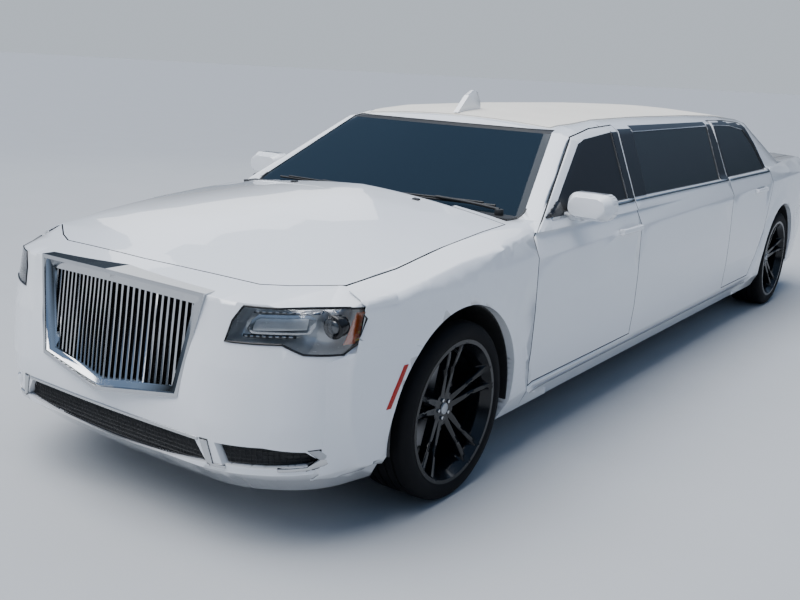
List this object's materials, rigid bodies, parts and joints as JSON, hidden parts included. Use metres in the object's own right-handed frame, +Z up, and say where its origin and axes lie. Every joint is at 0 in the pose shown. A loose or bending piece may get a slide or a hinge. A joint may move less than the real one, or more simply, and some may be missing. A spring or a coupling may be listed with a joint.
{
  "type": "stretch limousine",
  "caption": "Long-wheelbase saloon limousine with opening doors, bonnet and boot lid, steered front wheels and free-turning road wheels.",
  "frame": {"origin": "on the ground, on the centreline, half way between nose and tail", "axes": "+X to the car's left, +Y to its rear, +Z up"},
  "size_m": [2.184, 6.7199, 1.5567],
  "materials": {
    "paint": "gloss white paint",
    "frame_paint": "gloss white paint",
    "underbody": "black underseal",
    "screen_glass": "tinted",
    "dark_glass": "privacy tint",
    "vinyl": "grained cream vinyl",
    "black_plastic": "grained",
    "lamp_clear": "clear lens",
    "lamp_red": "red lens",
    "black_mesh": "satin black",
    "chrome": "polished",
    "black_metal": "satin black",
    "steel": "black chassis paint",
    "cast_metal": "cast",
    "exhaust_steel": "dull",
    "upholstery": "black leather",
    "cabinet_wood": "dark gloss veneer",
    "dash_plastic": "grained",
    "tyre_rubber": "satin black rubber",
    "black_rim": "gloss black",
    "disc_iron": "turned"
  },
  "bodies": {
    "root": {"fenders": "paint", "front_bumper": "paint", "quarter_panels": "paint", "rear_bumper": "paint", "stretch_panels": "paint", "roof": "paint", "body_frame": "frame_paint", "rear_frame": "frame_paint", "chassis_rails": "underbody", "floor_pan": "underbody", "windscreen": "screen_glass", "rear_window": "dark_glass", "stretch_windows": "dark_glass", "vinyl_roof": "vinyl", "roof_antenna": "paint", "cowl": "black_plastic", "wipers": "black_plastic", "headlamps": "lamp_clear", "tail_lamps": "lamp_red", "lower_intake": "black_mesh", "grille": "chrome", "radiator": "black_metal", "front_subframe": "steel", "engine_block": "cast_metal", "rear_axle": "steel", "wheel_liners": "black_plastic", "exhaust": "exhaust_steel", "front_seats": "upholstery", "rear_bench": "upholstery", "side_bench": "upholstery", "bar_cabinet": "cabinet_wood", "dashboard": "dash_plastic", "steering_wheel": "dash_plastic"},
    "bonnet": {"bonnet": "paint"},
    "boot_lid": {"boot_lid": "paint"},
    "front_door_left": {"front_door_left": "paint", "front_door_glass_left": "screen_glass", "mirror_left": "paint"},
    "rear_door_left": {"rear_door_left": "paint", "rear_door_glass_left": "dark_glass"},
    "steer_left": {"knuckle_left": "cast_metal"},
    "wheel_front_left": {"tyre_front_left": "tyre_rubber", "rim_front_left": "black_rim", "brake_disc_front_left": "disc_iron"},
    "wheel_rear_left": {"tyre_rear_left": "tyre_rubber", "rim_rear_left": "black_rim", "brake_disc_rear_left": "disc_iron"},
    "front_door_right": {"front_door_right": "paint", "front_door_glass_right": "screen_glass", "mirror_right": "paint"},
    "rear_door_right": {"rear_door_right": "paint", "rear_door_glass_right": "dark_glass"},
    "steer_right": {"knuckle_right": "cast_metal"},
    "wheel_front_right": {"tyre_front_right": "tyre_rubber", "rim_front_right": "black_rim", "brake_disc_front_right": "disc_iron"},
    "wheel_rear_right": {"tyre_rear_right": "tyre_rubber", "rim_rear_right": "black_rim", "brake_disc_rear_right": "disc_iron"}
  },
  "joints": [
    {"name": "bonnet_hinge", "type": "hinge", "parent": "root", "child": "bonnet", "pos_m": [0, -1.818, 1.117], "axis": [-1, 0, 0], "range_deg": [0, 60]},
    {"name": "boot_lid_hinge", "type": "hinge", "parent": "root", "child": "boot_lid", "pos_m": [0, 2.607, 1.126], "axis": [1, 0, 0], "range_deg": [0, 70]},
    {"name": "front_door_left_hinge", "type": "hinge", "parent": "root", "child": "front_door_left", "pos_m": [0.951, -1.758, 0.7], "axis": [0, 0, -1], "range_deg": [0, 65]},
    {"name": "rear_door_left_hinge", "type": "hinge", "parent": "root", "child": "rear_door_left", "pos_m": [0.951, 0.992, 0.7], "axis": [0, 0, -1], "range_deg": [0, 65]},
    {"name": "steer_left_kingpin", "type": "hinge", "parent": "root", "child": "steer_left", "pos_m": [0.755, -2.37, 0.36], "axis": [0, 0, 1], "range_deg": [-35, 35]},
    {"name": "wheel_front_left_spin", "type": "hinge", "parent": "steer_left", "child": "wheel_front_left", "pos_m": [0.805, -2.37, 0.36], "axis": [1, 0, 0], "continuous": true},
    {"name": "wheel_rear_left_spin", "type": "hinge", "parent": "root", "child": "wheel_rear_left", "pos_m": [0.805, 2.282, 0.36], "axis": [1, 0, 0], "continuous": true},
    {"name": "front_door_right_hinge", "type": "hinge", "parent": "root", "child": "front_door_right", "pos_m": [-0.951, -1.758, 0.7], "axis": [0, 0, 1], "range_deg": [0, 65]},
    {"name": "rear_door_right_hinge", "type": "hinge", "parent": "root", "child": "rear_door_right", "pos_m": [-0.951, 0.992, 0.7], "axis": [0, 0, 1], "range_deg": [0, 65]},
    {"name": "steer_right_kingpin", "type": "hinge", "parent": "root", "child": "steer_right", "pos_m": [-0.755, -2.37, 0.36], "axis": [0, 0, 1], "range_deg": [-35, 35]},
    {"name": "wheel_front_right_spin", "type": "hinge", "parent": "steer_right", "child": "wheel_front_right", "pos_m": [-0.805, -2.37, 0.36], "axis": [1, 0, 0], "continuous": true},
    {"name": "wheel_rear_right_spin", "type": "hinge", "parent": "root", "child": "wheel_rear_right", "pos_m": [-0.805, 2.282, 0.36], "axis": [1, 0, 0], "continuous": true}
  ],
  "couplings": [
    {"joint": "steer_right_kingpin", "follows": "steer_left_kingpin", "ratio": 1}
  ]
}
